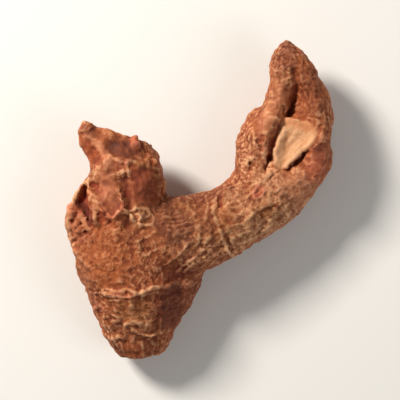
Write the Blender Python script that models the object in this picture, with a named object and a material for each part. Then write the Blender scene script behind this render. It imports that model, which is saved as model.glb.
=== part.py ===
"""A dried, branched galangal rhizome, lying on a flat surface.

It is one grown piece: a thick stem with a broken crown at one end and a blunt stub at the other, and an arm
that leaves the stem sideways, bends upwards and ends in a shrunken, split cut face. Sizes are in millimetres
until the mesh is finished. +Z is up, +Y points from the stub to the crown. The origin is under the middle.
"""

import itertools
import math

import bpy
import numpy as np

MM = 0.001
SEED = 29
SKIN_COLOUR = (0.35, 0.15, 0.07, 1)

# The voxels that shapes are joined at, the passes that smooth them, and the triangles that are kept.
ROUGH_VOXEL = 0.5
ROUGH_PASSES = 7
FINE_VOXEL = 0.42
FINE_PASSES = 1
TRIANGLES = 11800
LOFT_STEP = 0.7
LOFT_SIDES = 40

# Limbs, as stations from end to end: x, y, z, half width seen from above, half height.
STEM = (
    (-16.0, 10.8, 10.6, 4.0, 3.6),
    (-15.3, 9.2, 10.2, 5.6, 5.0),
    (-14.3, 6.9, 9.7, 6.5, 5.9),
    (-13.4, 3.0, 9.0, 6.7, 6.6),
    (-14.5, -0.9, 8.4, 7.8, 7.9),
    (-15.7, -5.1, 8.4, 9.1, 8.2),
    (-14.8, -9.9, 8.7, 9.2, 7.9),
    (-12.9, -14.6, 8.0, 9.4, 7.4),
    (-12.3, -18.9, 6.9, 8.8, 6.8),
    (-11.9, -23.1, 5.8, 7.5, 5.7),
    (-11.5, -26.9, 4.9, 6.0, 4.5),
    (-11.3, -29.3, 4.4, 4.1, 3.4),
)
ARM = (
    (-13.7, -7.5, 8.2, 7.7, 6.8),
    (-7.7, -7.1, 8.1, 7.9, 7.1),
    (-2.2, -6.6, 7.9, 7.6, 6.8),
    (2.1, -5.2, 7.5, 7.0, 6.4),
    (4.6, -3.8, 7.4, 6.7, 6.2),
    (8.3, -1.5, 7.1, 6.8, 6.3),
    (12.0, 1.5, 6.8, 7.6, 6.4),
    (14.2, 5.6, 6.6, 8.5, 6.5),
    (15.6, 9.4, 6.7, 9.4, 6.5),
    (16.6, 12.6, 7.2, 8.7, 6.1),
    (18.0, 15.6, 7.7, 7.1, 5.5),
    (18.1, 19.0, 8.1, 5.8, 4.9),
    (17.1, 22.7, 8.5, 4.6, 4.3),
    (16.1, 26.2, 8.9, 3.4, 3.5),
    (15.9, 28.5, 9.0, 2.3, 2.5),
    (15.9, 30.0, 9.1, 0.7, 0.9),
)
# The low shoulder between the arm and the stub, on the shaded side of the stem.
SHOULDER = (
    (-9.6, -8.0, 6.6, 6.6, 5.4),
    (-6.0, -13.0, 6.2, 6.4, 5.2),
    (-5.9, -17.5, 5.9, 4.9, 4.6),
    (-6.9, -21.5, 5.4, 3.3, 3.5),
    (-8.0, -24.8, 5.0, 2.0, 2.4),
)
# The rim of the broken crown, its long upturned corner, the torn strip of bark and the thin skin behind it.
CROWN_RIM = (
    (-21.9, 12.8, 12.4, 1.6, 1.6),
    (-18.8, 12.1, 12.2, 1.6, 1.9),
    (-15.4, 11.0, 12.0, 1.7, 2.2),
    (-12.9, 10.3, 11.8, 1.6, 2.2),
    (-10.9, 8.4, 11.4, 1.2, 2.0),
    (-8.5, 6.8, 11.0, 1.4, 1.9),
)
CROWN_CORNER = (
    (-15.0, 5.5, 10.0, 4.0, 3.8),
    (-17.6, 8.2, 10.6, 3.8, 3.4),
    (-19.9, 10.8, 11.6, 2.6, 2.5),
    (-21.6, 12.8, 12.5, 1.9, 1.8),
    (-22.4, 13.8, 12.8, 0.8, 0.8),
)
TORN_STRIP = (
    (-19.4, -12.5, 9.0, 2.8, 3.2),
    (-21.7, -8.8, 9.7, 2.5, 3.3),
    (-23.4, -5.6, 10.6, 1.9, 3.1),
    (-24.3, -3.0, 11.5, 1.3, 2.4),
    (-24.7, -1.1, 12.2, 0.7, 1.2),
)
THIN_SKIN = (
    (-24.5, -2.0, 10.4, 0.7, 2.0),
    (-23.7, 0.2, 10.0, 0.6, 2.4),
    (-22.2, 2.6, 9.8, 0.6, 2.4),
    (-20.4, 4.8, 9.8, 0.8, 2.2),
)
# Round knobs on the crown's rim and on the torn strip: x, y, z, radius.
KNOBS = (
    (-12.5, 11.2, 13.2, 1.1),
    (-12.3, 10.1, 13.7, 1.3),
    (-9.9, 8.0, 12.9, 1.0),
    (-9.1, 7.2, 12.6, 1.0),
    (-21.3, 13.2, 13.4, 1.45),
    (-20.3, 8.3, 10.4, 1.1),
    (-24.4, -2.6, 13.0, 0.9),
    (-22.6, -5.6, 13.6, 0.8),
)

# Folds of the upper side: how high they stand (or how deep they cut), how wide they are, and where they run.
FOLDS = {
    "valley of the cut face": (-1.7, 2.4, ((17.4, 19.5), (17.6, 16.5), (17.2, 12.0), (15.6, 7.0))),
    "left lip": (1.3, 1.9, ((15.0, 24), (15.2, 22), (14.8, 19.6), (13.5, 16.9), (12.1, 14), (11.2, 10.6))),
    "left shoulder": (0.7, 1.5, ((9.6, 12.4), (9.0, 9.0), (8.6, 6.0), (9.5, 2.4))),
    "furrow left of the lip": (-0.8, 0.6, ((11.3, 16.4), (10.7, 14.6), (10.9, 12.4), (11.5, 9.8))),
    "right lobe": (1.0, 1.9, ((18.2, 26.1), (20.4, 20.6), (22.5, 14.1), (22.6, 9.0), (20.6, 3.9))),
    "end of the cleft": (-0.9, 0.55, ((17.2, 24.0), (17.6, 21.8), (17.3, 19.3))),
    "cleft": (-2.4, 0.6, ((17.3, 19.6), (16.9, 17.6), (16.4, 16.2))),
    "cleft's widest part": (-1.0, 0.9, ((17.3, 18.2), (16.9, 16.6))),
    "cleft beside the flap": (
        -1.4,
        0.6,
        ((16.4, 16.2), (15.0, 14.2), (13.9, 12.2), (13.1, 10.1), (12.7, 7.8)),
    ),
    "cleft's lower end": (-1.4, 0.5, ((12.7, 7.8), (11.9, 5.4))),
    "slit beside the flap": (-2.6, 0.5, ((16.2, 5.6), (17.9, 7.4), (20.0, 9.8))),
    "slit's widest part": (-1.3, 0.8, ((18.4, 7.4), (19.4, 8.6))),
    "hollow behind the torn strip": (-2.5, 1.0, ((-21.1, -3.2), (-21.6, -0.8), (-21.7, 1.6))),
    "fold from the crown's corner": (0.7, 0.9, ((-21.0, 12.2), (-18.2, 9.2), (-17.0, 6.6))),
    "broad fold of the neck": (1.5, 2.4, ((-18.4, 5.0), (-18.0, 3.0), (-17.3, 0.8))),
    "furrow across the neck's fold": (-1.2, 0.45, ((-20.4, 4.2), (-19.3, 2.0), (-18.7, 1.2))),
    "left strand of the neck's fold": (
        1.3,
        0.7,
        ((-20.9, 3.0), (-20.0, 0.8), (-19.7, -2.2), (-19.5, -3.8)),
    ),
    "right strand of the neck's fold": (0.8, 0.6, ((-15.2, 1.6), (-14.5, 0.0), (-14.3, -2.4))),
    "scallop below the neck's fold": (
        1.0,
        0.45,
        ((-18.8, -0.8), (-18.3, -2.2), (-17.2, -3.2), (-16.1, -3.3), (-15.1, -2.0)),
    ),
    "left tip of the scallop": (0.9, 0.35, ((-18.0, -2.6), (-17.5, -4.2))),
    "right tip of the scallop": (0.9, 0.35, ((-15.4, -2.4), (-16.1, -4.2))),
    "first tip of the left strand": (0.9, 0.3, ((-20.0, -3.4), (-20.1, -4.6))),
    "second tip of the left strand": (0.9, 0.3, ((-19.4, -3.6), (-19.4, -4.8))),
    "third tip of the left strand": (0.8, 0.3, ((-18.9, -3.0), (-18.8, -4.4))),
    "end of the right strand": (0.6, 0.8, ((-14.8, -2.8), (-15.0, -4.0))),
    "low swell below the neck": (0.4, 1.3, ((-15.9, -5.6), (-15.7, -6.6))),
    "gap left of the scallop": (-1.2, 0.45, ((-18.6, -2.8), (-18.3, -4.0))),
    "gap within the scallop": (-0.8, 0.4, ((-16.9, -3.9), (-16.8, -4.3))),
    "gap left of the bud": (-0.7, 0.35, ((-14.1, -2.4), (-14.0, -3.4), (-13.7, -4.8))),
    "furrow right of the neck's fold": (-0.6, 0.6, ((-14.3, 3.8), (-13.6, 1.0), (-13.5, -1.2))),
    "hollow above the arm": (-0.8, 1.8, ((-8.4, 0.6), (-5.0, -0.8), (0.0, -0.6))),
    "upper groove of the arm's ring": (-1.1, 0.5, ((3.3, 0.9), (3.4, -1.8))),
    "lower groove of the arm's ring": (-1.0, 0.5, ((5.2, -6.0), (6.7, -9.0))),
    "slit on the left lobe": (-0.9, 0.35, ((9.5, 7.0), (9.2, 5.4))),
    "second slit on the left lobe": (-0.7, 0.3, ((13.4, 5.0), (12.6, 3.9))),
    "rolled wrinkle of the stub": (
        0.6,
        0.5,
        ((-13.0, -24.5), (-11.5, -24.9), (-9.6, -25.4), (-8.0, -24.9), (-7.6, -22.4)),
    ),
    "upper wrinkle of the stub": (
        0.4,
        0.4,
        ((-14.2, -23.1), (-12.7, -22.5), (-10.3, -23.1), (-9.1, -22.2)),
    ),
}
# Scars of roots and buds: x, y, radius, height of the rim, depth inside it, and 1 for above or -1 for below.
SCARS = {
    "bud on the stem": (-11.1, -3.1, 1.9, 0.0, 0.2, 1),
    "root by the stem's ring": (-18.9, -20.8, 1.1, 0.1, 0.15, 1),
    "rotten spot at the elbow": (12.4, -2.6, 1.4, 0.2, 0.25, 1),
    "pink spot of the left lobe": (10.3, 1.6, 0.7, 0.2, 0.4, 1),
    "first pit of the torn strip": (-24.0, -4.0, 0.65, 0.1, 1.1, 1),
    "second pit of the torn strip": (-22.4, -4.3, 0.55, 0.1, 0.9, 1),
    "third pit of the torn strip": (-21.7, -6.0, 0.6, 0.1, 0.9, 1),
    "fourth pit of the torn strip": (-24.0, -7.7, 0.6, 0.1, 0.8, 1),
    "fifth pit of the torn strip": (-20.8, -4.8, 0.5, 0.1, 0.5, 1),
    "first root below the stem": (-13.2, 4.6, 1.3, 0.5, 0.7, -1),
    "second root below the stem": (-17.8, -9.4, 1.5, 0.5, 0.8, -1),
    "third root below the stem": (-9.8, -13.6, 1.2, 0.45, 0.7, -1),
    "root below the stub": (-13.6, -26.0, 1.0, 0.4, 0.6, -1),
    "first root below the arm": (-1.6, -8.4, 1.4, 0.5, 0.7, -1),
    "second root below the arm": (7.6, -3.8, 1.2, 0.45, 0.7, -1),
    "root below the head": (19.6, 12.6, 1.1, 0.4, 0.6, -1),
}
# Leaf scars that run round a limb: where they cross its middle, how high they stand, how far they lean.
STEM_RINGS = ((-14.2, 6.6, 0.12, 0.0), (-12.4, -15.5, 0.5, 1.3), (-11.2, -24.4, 0.3, 0.0))
ARM_RINGS = ((3.9, -4.6, 0.15, 0.0), (12.0, 1.6, 0.2, 0.0))
RING_SWAY = 0.5
RING_WIDTH = 0.6
WAIST_WIDTH = 2.6
WAIST_DEPTH = 0.45
# Swells of the body, as height and spacing, and how far the whole skin has shrunk.
SWELLS = ((0.4, 6.5), (0.26, 3.0))
SHRINKAGE = 0.15
# Wrinkles along and across a limb: how often they come round it, how long they run, and their heights.
LENGTHWISE = (4.7, 5.5)
CROSSWISE = (1.6, 1.0)
STEM_WRINKLES = (0.14, 0.08)
ARM_WRINKLES = (0.12, 0.09)
# The skin's grains: height and spacing. How far waves bend the wrinkles and grains, and those waves' spacing.
GRAIN = (0.16, 1.9)
BEND = (0.5, 3.1)
# How far and at what spacing everything is pushed about sideways, so that nothing runs straight.
JITTER = (0.22, 1.3)
# The pale flap of inner tissue that stands in the cut face: x, y and z of its corners, and its thickness.
FLAP = (
    (15.7, 15.5, 11.7),
    (17.8, 15.1, 12.3),
    (20.0, 14.0, 12.5),
    (21.6, 12.7, 12.6),
    (20.1, 9.9, 12.3),
    (17.8, 7.9, 11.9),
    (15.7, 5.6, 11.6),
    (13.9, 6.7, 11.3),
    (13.5, 8.6, 11.2),
    (14.4, 12.0, 11.4),
)
FLAP_THICKNESS = 2.4
# The hollow torn into the crown's far end: x and z of its middle, its half width and half height, its depth.
CROWN_END = (-15.0, 9.6, 5.6, 3.0, 2.8)
# Where along the stem the crown starts. The torn fibres: how unevenly they end, and how closely they stand.
CROWN_START = 5.0
FIBRE_REACH = 1.3
FIBRE_SPACING = (0.9, 0.12, 0.9)
# Everything below this height is pressed flat, and becomes the ground that the piece rests on.
GROUND = 0.32
FLAT_SPOTS = 0.15
# How sharply the upper side's marks fade where the skin turns away from above.
UPPER_SIDE = 2.2

# Creases and narrow ridges of the upper side, given as the folds are.
CREASES = {
    "ring of the stem": (
        0.6,
        0.34,
        ((-18.3, -16.8), (-16.9, -17.8), (-14.5, -18.0), (-13.0, -17.7), (-10.9, -17.1)),
    ),
    "right end of the stem's ring": (
        0.5,
        0.32,
        ((-10.9, -17.1), (-9.1, -16.2), (-6.6, -16.2), (-4.4, -15.4)),
    ),
    "drip below the stem's ring": (0.35, 0.3, ((-13.2, -17.9), (-13.3, -18.9), (-12.7, -19.8))),
    "ring of the arm": (0.7, 0.42, ((2.1, -1.6), (2.7, -3.1), (3.6, -4.9), (4.6, -7.2), (6.2, -10.9))),
    "upper end of the arm's ring": (0.35, 0.4, ((3.0, 1.0), (2.3, -0.4), (2.1, -1.6))),
    "ring of the crown": (0.4, 0.5, ((-17.2, 8.2), (-14.9, 6.9), (-12.9, 7.1), (-10.9, 6.5), (-8.3, 5.6))),
    "edge of the bud": (
        0.45,
        0.26,
        (
            (-13.6, -2.2),
            (-11.9, -1.5),
            (-10.1, -1.6),
            (-8.8, -3.2),
            (-9.2, -4.6),
            (-11.2, -4.7),
            (-12.5, -3.6),
            (-13.6, -2.2),
        ),
    ),
    "wrinkle below the bud": (0.35, 0.35, ((-11.6, -7.5), (-10.5, -6.9), (-9.4, -6.6), (-8.7, -5.9))),
    "loop on the arm": (0.3, 0.3, ((-0.8, -5.2), (0.3, -4.7), (1.3, -5.6), (1.5, -7.0), (0.6, -7.8))),
    "first slant below the arm": (0.35, 0.35, ((-4.9, -13.7), (-3.2, -12.2), (-1.4, -10.6), (1.2, -8.6))),
    "first lump of the torn strip": (0.7, 0.45, ((-25.0, -1.5), (-24.2, -2.4))),
    "second lump of the torn strip": (0.7, 0.45, ((-23.6, -2.2), (-22.6, -2.8), (-22.0, -3.6))),
    "third lump of the torn strip": (0.6, 0.4, ((-21.5, -3.8), (-21.2, -5.4))),
    "fourth lump of the torn strip": (0.6, 0.45, ((-24.6, -5.2), (-23.6, -5.8), (-23.4, -6.8))),
    "fifth lump of the torn strip": (0.6, 0.35, ((-23.2, -3.4), (-23.1, -5.2))),
    "side fold on the stub": (0.4, 0.4, ((-18.5, -22.4), (-17.2, -24.9), (-16.0, -27.2))),
    "curl by the stem's ring": (
        0.4,
        0.35,
        ((-20.2, -20.7), (-19.8, -20.1), (-18.7, -19.9), (-18.1, -20.7), (-18.4, -22.0)),
    ),
    "upper edge of the flap": (0.22, 0.4, ((13.8, 9.4), (14.6, 11.8), (15.9, 15.2), (17.8, 14.9))),
    "lower edge of the flap": (0.25, 0.4, ((21.4, 12.3), (19.9, 10.2), (17.7, 8.2), (15.7, 6.0))),
    "long crease of the flap": (-0.2, 0.5, ((20.6, 13.2), (18.0, 11.6), (16.2, 9.6), (15.4, 7.4))),
    "curl beside the flap": (0.45, 0.4, ((12.9, 6.6), (12.4, 5.6), (12.9, 4.8), (13.6, 5.4))),
}
# How far the creases sway, and how much wider they are than on a fine skin, as the mesh is coarser.
CREASE_SWAY = 0.35
CREASE_SPREAD = 1.9


def spline(stations, step):
    """Points of a smooth curve through the stations, about a step apart, with all columns carried along."""
    rows = np.array(stations, float)
    rows = np.vstack([2 * rows[0] - rows[1], rows, 2 * rows[-1] - rows[-2]])
    parts = []
    for a, b, c, d in zip(rows, rows[1:], rows[2:], rows[3:]):
        count = max(1, round(np.linalg.norm((c - b)[:3]) / step))
        t = (np.arange(count) / count)[:, None]
        parts.append(b + 0.5 * t * (c - a + t * (2 * a - 5 * b + 4 * c - d + t * (3 * b - a - 3 * c + d))))
    return np.vstack([*parts, rows[-2:-1]])


def unit(vectors):
    return vectors / np.linalg.norm(vectors, axis=-1, keepdims=True)


class Noise:
    """Smooth random waves in space, about one unit apart, mostly between -1 and 1."""

    def __init__(self, seed):
        random = np.random.default_rng(seed)
        self.order = random.permutation(256)
        self.slopes = unit(random.normal(size=(256, 3)))

    def at(self, points):
        cell = np.floor(points).astype(int)
        part = points - cell
        fade = part**3 * (part * (part * 6 - 15) + 10)
        total = np.zeros(len(points))
        for corner in itertools.product((0, 1), repeat=3):
            x, y, z = ((cell + corner) & 255).T
            slope = self.slopes[self.order[(self.order[(self.order[x] + y) & 255] + z) & 255]]
            weight = np.prod(np.where(corner, fade, 1 - fade), axis=1)
            total += weight * np.sum(slope * (part - corner), axis=1)
        return total * 1.6


class Limb:
    """A tapering branch: its centre line, its half sizes, and at each point the axes along, across and up."""

    def __init__(self, stations):
        rows = spline(stations, LOFT_STEP)
        self.centre = rows[:, :3]
        self.half = np.maximum(rows[:, 3:5], 0.1)
        self.along = unit(np.gradient(self.centre, axis=0))
        self.across = unit(np.cross(self.along, (0, 0, 1)))
        self.up = np.cross(self.across, self.along)
        steps = np.linalg.norm(np.diff(self.centre, axis=0), axis=1)
        self.length = np.concatenate([[0], np.cumsum(steps)])

    def loft(self):
        """Points and faces of a closed tube along the limb."""
        turn = np.linspace(0, 2 * math.pi, LOFT_SIDES, endpoint=False)
        ring = np.stack([np.cos(turn), np.sin(turn)], axis=1)
        points = (
            self.centre[:, None]
            + self.across[:, None] * (self.half[:, None, :1] * ring[None, :, :1])
            + self.up[:, None] * (self.half[:, None, 1:] * ring[None, :, 1:])
        )
        last = (len(points) - 1) * LOFT_SIDES
        sides = [(j, (j + 1) % LOFT_SIDES) for j in range(LOFT_SIDES)]
        faces = [
            (start + j, start + j + LOFT_SIDES, start + k + LOFT_SIDES, start + k)
            for start in range(0, last, LOFT_SIDES)
            for j, k in sides
        ]
        faces.append(tuple(range(LOFT_SIDES)))
        faces.append(tuple(last + j for j in reversed(range(LOFT_SIDES))))
        return points.reshape(-1, 3), faces

    def place(self, points):
        """For each point: how far along the limb it lies, its direction round it, its share of the radius."""
        near = np.argmin(np.sum(self.centre**2, axis=1) - 2 * points @ self.centre.T, axis=1)
        offset = points - self.centre[near]
        sides = np.stack([self.across[near], self.up[near]], axis=1)
        flat = np.einsum("nij,nj->ni", sides, offset) / self.half[near]
        reach = np.maximum(np.linalg.norm(flat, axis=1), 1e-6)
        along = self.length[near] + np.sum(offset * self.along[near], axis=1)
        return along, flat / reach[:, None], reach


def plate(corners, thickness):
    """Points and faces of a slab under a ring of corners given clockwise from above."""
    top = np.array(corners, float)
    count = len(top)
    faces = [tuple(reversed(range(count))), tuple(range(count, 2 * count))]
    faces += [(i, (i + 1) % count, (i + 1) % count + count, i + count) for i in range(count)]
    return np.vstack([top, top - (0, 0, thickness)]), faces


def ball(x, y, z, radius):
    """Points and faces of a small round knob."""
    turns = np.linspace(0.15, 3.0, 7)
    stations = [(x, y - radius * math.cos(a), z, radius * math.sin(a), radius * math.sin(a)) for a in turns]
    return Limb(stations).loft()


def joined(shapes):
    """One mesh that holds all the shapes, each given as points and faces."""
    starts = np.cumsum([0, *(len(points) for points, _ in shapes)])
    faces = [tuple(i + start for i in face) for start, (_, part) in zip(starts, shapes) for face in part]
    mesh = bpy.data.meshes.new("rhizome")
    mesh.from_pydata(np.vstack([points for points, _ in shapes]).tolist(), [], faces)
    return mesh


def modified(mesh, *modifiers):
    """The mesh after a list of modifiers, each given as its type and settings."""
    obj = bpy.data.objects.new("work", mesh)
    bpy.context.scene.collection.objects.link(obj)
    for kind, settings in modifiers:
        modifier = obj.modifiers.new(kind, kind)
        for name, value in settings.items():
            setattr(modifier, name, value)
    result = bpy.data.meshes.new_from_object(obj.evaluated_get(bpy.context.evaluated_depsgraph_get()))
    bpy.data.objects.remove(obj)
    return result


def fused(shapes, voxel, passes):
    """One smoothed skin round all the shapes."""
    return modified(
        joined(shapes),
        ("REMESH", {"mode": "VOXEL", "voxel_size": voxel}),
        ("SMOOTH", {"factor": 0.5, "iterations": passes}),
    )


def read(mesh):
    """The mesh's points and normals."""
    found = np.empty((2, len(mesh.vertices) * 3))
    mesh.vertices.foreach_get("co", found[0])
    mesh.vertices.foreach_get("normal", found[1])
    return found[0].reshape(-1, 3).copy(), found[1].reshape(-1, 3).copy()


def write(mesh, points):
    mesh.vertices.foreach_set("co", points.ravel())
    mesh.update()


def line_distance(points, line):
    """How far each point lies from a line of corners, seen from above."""
    best = np.full(len(points), np.inf)
    for start, end in itertools.pairwise(np.array(line, float)):
        run = end - start
        t = np.clip((points[:, :2] - start) @ run / (run @ run), 0, 1)
        best = np.minimum(best, np.linalg.norm(points[:, :2] - start - t[:, None] * run, axis=1))
    return best


def folded(points, normals):
    """The points after the folds of the upper side: ridges grow outwards, furrows sink straight down."""
    above = np.clip(normals[:, 2:] * UPPER_SIDE, 0, 1)
    move = np.zeros_like(points)
    for height, width, line in FOLDS.values():
        shape = height * np.exp(-((line_distance(points, line) / width) ** 2))[:, None]
        move += above * shape * (normals if height > 0 else (0, 0, 1))
    return points + move


def torn(points, normals):
    """The points after the crown's far end is torn out into a ragged, fibrous hollow."""
    x, y, z = points.T
    inside = 1 - ((x - CROWN_END[0]) / CROWN_END[2]) ** 2 - ((z - CROWN_END[1]) / CROWN_END[3]) ** 2
    facing = np.clip(normals[:, 1] * 2, 0, 1) * np.clip(inside * 2, 0, 1) * (y > CROWN_START)
    fibres = Noise(SEED + 3).at(points * FIBRE_SPACING)
    return points - np.outer(facing * (CROWN_END[4] + FIBRE_REACH * fibres), (0, 1, 0))


def drift(points, noise, gap):
    """Three waves of a noise that differ from each other, for pushing points about."""
    return np.stack([noise.at(points / gap + shift) for shift in (0, 23.1, 47.7)], axis=1)


def ridges(noise, points):
    """Sharp-crested ridges from a noise: 1 on the crests, below 0 between them."""
    return 1 - 2.4 * np.abs(noise.at(points))


def scarred(points, normals, warp):
    """How far the scars of roots and buds push each point outwards: a rim, and a bowl with a stump in it."""
    push = np.zeros(len(points))
    for x, y, radius, rim, depth, side in SCARS.values():
        facing = np.clip(normals[:, 2] * side * UPPER_SIDE, 0, 1)
        away = np.hypot(points[:, 0] - x, points[:, 1] - y) / radius + 0.35 * warp
        bowl = rim * np.exp(-(((away - 1) / 0.3) ** 2)) - depth * np.exp(-((away / 0.75) ** 4))
        push += facing * (bowl + 0.35 * depth * np.exp(-((away / 0.3) ** 2)))
    return push


def ringed(limb, crossings, along, around, waves):
    """How far a limb's leaf scars push each point outwards: a broken ridge in a shallow waist."""
    push = np.zeros(len(along))
    for x, y, height, lean in crossings:
        spot = limb.length[np.argmin(np.hypot(limb.centre[:, 0] - x, limb.centre[:, 1] - y))]
        sway = waves.at(np.column_stack([around * 2.2, np.full(len(along), spot)]))
        gap = along - spot + RING_SWAY * sway + lean * around[:, 0]
        lumps = waves.at(np.column_stack([around * 5.0, np.full(len(along), spot + 7.3)]))
        broken = np.clip(0.85 + 0.5 * lumps, 0.4, 1.0)
        waist = WAIST_DEPTH * np.exp(-((gap / WAIST_WIDTH) ** 2))
        push += height * (broken * np.exp(-((gap / RING_WIDTH) ** 2)) - waist)
    return push


def relief(points, normals):
    """How far the skin's own relief pushes each point outwards, all but the creases."""
    swell, wrinkle, grain = Noise(SEED), Noise(SEED + 1), Noise(SEED + 2)
    warp = drift(points, swell, BEND[1])
    push = sum(height * swell.at(points / gap + 9 * i) for i, (height, gap) in enumerate(SWELLS)) - SHRINKAGE
    limbs = ((Limb(STEM), STEM_RINGS, STEM_WRINKLES), (Limb(ARM), ARM_RINGS, ARM_WRINKLES))
    places = [limb.place(points) for limb, _, _ in limbs]
    shares = np.exp(-8 * np.stack([reach for _, _, reach in places]))
    shares /= shares.sum(axis=0)
    for share, (limb, crossings, heights), (along, around, _) in zip(shares, limbs, places):
        push += share * ringed(limb, crossings, along, around, swell)
        for height, (often, run) in zip(heights, (LENGTHWISE, CROSSWISE)):
            course = np.column_stack([around * often, along / run]) + BEND[0] * warp
            push += share * height * ridges(wrinkle, course)
    push += GRAIN[0] * ridges(grain, points / GRAIN[1] + BEND[0] * warp)
    return push + scarred(points, normals, grain.at(points / JITTER[1]))


def creased(points, normals, sway):
    """How far the creases push each point outwards: sharp-crested and broken, and only above."""
    above = np.clip(normals[:, 2] * UPPER_SIDE, 0, 1)
    push = np.zeros(len(points))
    for height, width, line in CREASES.values():
        near = line_distance(points + CREASE_SWAY * sway, line) / (CREASE_SPREAD * width)
        push += height * np.exp(-(near**1.3))
    return above * push * np.clip(0.8 + 0.5 * sway[:, 2], 0.4, 1.0)


def rhizome():
    """The whole piece: limbs joined and folded, then the flap and knobs joined on, then the skin's relief."""
    limbs = [Limb(row) for row in (STEM, ARM, SHOULDER, CROWN_RIM, CROWN_CORNER, TORN_STRIP, THIN_SKIN)]
    body = fused([limb.loft() for limb in limbs], ROUGH_VOXEL, ROUGH_PASSES)
    points, normals = read(body)
    points = torn(folded(points, normals), normals)
    faces = [tuple(polygon.vertices) for polygon in body.polygons]
    shapes = [(points, faces), plate(FLAP, FLAP_THICKNESS), *(ball(*knob) for knob in KNOBS)]
    mesh = fused(shapes, FINE_VOXEL, FINE_PASSES)
    points, normals = read(mesh)
    sway = drift(points, Noise(SEED + 7), JITTER[1])
    crease = creased(points, normals, sway)
    points += JITTER[0] * sway * (1, 1, 0.5)
    points += normals * (relief(points, normals) + crease)[:, None]
    points[:, 2] = np.maximum(points[:, 2] - GROUND, 0)
    write(mesh, points)
    return mesh


def settled(mesh):
    """Sets the mesh down on small flat spots, with the origin under its middle, and turns it into metres."""
    points = read(mesh)[0]
    points[:, 2] = np.where(points[:, 2] < FLAT_SPOTS, 0, points[:, 2])
    points[:, :2] -= (points[:, :2].min(axis=0) + points[:, :2].max(axis=0)) / 2
    write(mesh, points * MM)


def skin():
    """The dried skin's plain brown."""
    material = bpy.data.materials.new("skin")
    material.use_nodes = True
    shader = material.node_tree.nodes["Principled BSDF"]
    shader.inputs["Base Color"].default_value = SKIN_COLOUR
    shader.inputs["Roughness"].default_value = 0.75
    return material


def main():
    for obj in list(bpy.data.objects):
        bpy.data.objects.remove(obj)
    mesh = rhizome()
    mesh = modified(mesh, ("DECIMATE", {"ratio": TRIANGLES / (2 * len(mesh.polygons))}))
    settled(mesh)
    mesh.shade_smooth()
    mesh.materials.clear()
    mesh.materials.append(skin())
    obj = bpy.data.objects.new("rhizome", mesh)
    bpy.context.scene.collection.objects.link(obj)


main()
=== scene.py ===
"""The looks of a dried, branched galangal rhizome lying on a pale surface, seen from straight above.

The skin is one fine mesh, grown from the same limbs, folds and scars as the solid that it stands for, with
wrinkles and grains added. What each place looks like is worked out by formula and kept on the mesh as masks,
which the material's nodes turn into colour. Sizes are in millimetres until the mesh is finished.
"""

import itertools
import math

import bpy
import numpy as np
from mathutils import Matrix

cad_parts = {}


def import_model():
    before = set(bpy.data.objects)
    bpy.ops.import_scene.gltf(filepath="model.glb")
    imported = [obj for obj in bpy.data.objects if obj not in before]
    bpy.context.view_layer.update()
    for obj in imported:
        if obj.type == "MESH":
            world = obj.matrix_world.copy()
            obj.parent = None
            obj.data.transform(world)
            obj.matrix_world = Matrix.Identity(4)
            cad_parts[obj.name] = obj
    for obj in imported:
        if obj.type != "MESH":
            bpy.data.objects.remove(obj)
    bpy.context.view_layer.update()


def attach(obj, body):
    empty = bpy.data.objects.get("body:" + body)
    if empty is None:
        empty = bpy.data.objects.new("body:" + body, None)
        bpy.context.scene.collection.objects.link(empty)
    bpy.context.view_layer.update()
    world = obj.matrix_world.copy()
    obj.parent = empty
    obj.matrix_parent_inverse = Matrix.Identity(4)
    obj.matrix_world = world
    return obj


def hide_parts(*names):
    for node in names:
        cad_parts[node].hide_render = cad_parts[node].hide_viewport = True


MM = 0.001
SEED = 29

# The voxels that shapes are joined at, and the passes that smooth them.
ROUGH_VOXEL = 0.5
ROUGH_PASSES = 7
FINE_VOXEL = 0.27
FINE_PASSES = 2
LOFT_STEP = 0.7
LOFT_SIDES = 40

# Limbs, as stations from end to end: x, y, z, half width seen from above, half height.
STEM = (
    (-16.0, 10.8, 10.6, 4.0, 3.6),
    (-15.3, 9.2, 10.2, 5.6, 5.0),
    (-14.3, 6.9, 9.7, 6.5, 5.9),
    (-13.4, 3.0, 9.0, 6.7, 6.6),
    (-14.5, -0.9, 8.4, 7.8, 7.9),
    (-15.7, -5.1, 8.4, 9.1, 8.2),
    (-14.8, -9.9, 8.7, 9.2, 7.9),
    (-12.9, -14.6, 8.0, 9.4, 7.4),
    (-12.3, -18.9, 6.9, 8.8, 6.8),
    (-11.9, -23.1, 5.8, 7.5, 5.7),
    (-11.5, -26.9, 4.9, 6.0, 4.5),
    (-11.3, -29.3, 4.4, 4.1, 3.4),
)
ARM = (
    (-13.7, -7.5, 8.2, 7.7, 6.8),
    (-7.7, -7.1, 8.1, 7.9, 7.1),
    (-2.2, -6.6, 7.9, 7.6, 6.8),
    (2.1, -5.2, 7.5, 7.0, 6.4),
    (4.6, -3.8, 7.4, 6.7, 6.2),
    (8.3, -1.5, 7.1, 6.8, 6.3),
    (12.0, 1.5, 6.8, 7.6, 6.4),
    (14.2, 5.6, 6.6, 8.5, 6.5),
    (15.6, 9.4, 6.7, 9.4, 6.5),
    (16.6, 12.6, 7.2, 8.7, 6.1),
    (17.9, 15.6, 7.7, 7.0, 5.5),
    (17.9, 19.0, 8.1, 6.0, 4.9),
    (17.1, 22.7, 8.5, 4.6, 4.3),
    (16.1, 26.2, 8.9, 3.4, 3.5),
    (15.9, 28.5, 9.0, 2.3, 2.5),
    (15.9, 30.0, 9.1, 0.7, 0.9),
)
# The low shoulder between the arm and the stub, on the shaded side of the stem.
SHOULDER = (
    (-9.6, -8.0, 6.6, 6.6, 5.4),
    (-6.0, -13.0, 6.2, 6.4, 5.2),
    (-5.9, -17.5, 5.9, 4.9, 4.6),
    (-6.9, -21.5, 5.4, 3.3, 3.5),
    (-8.0, -24.8, 5.0, 2.0, 2.4),
)
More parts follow.
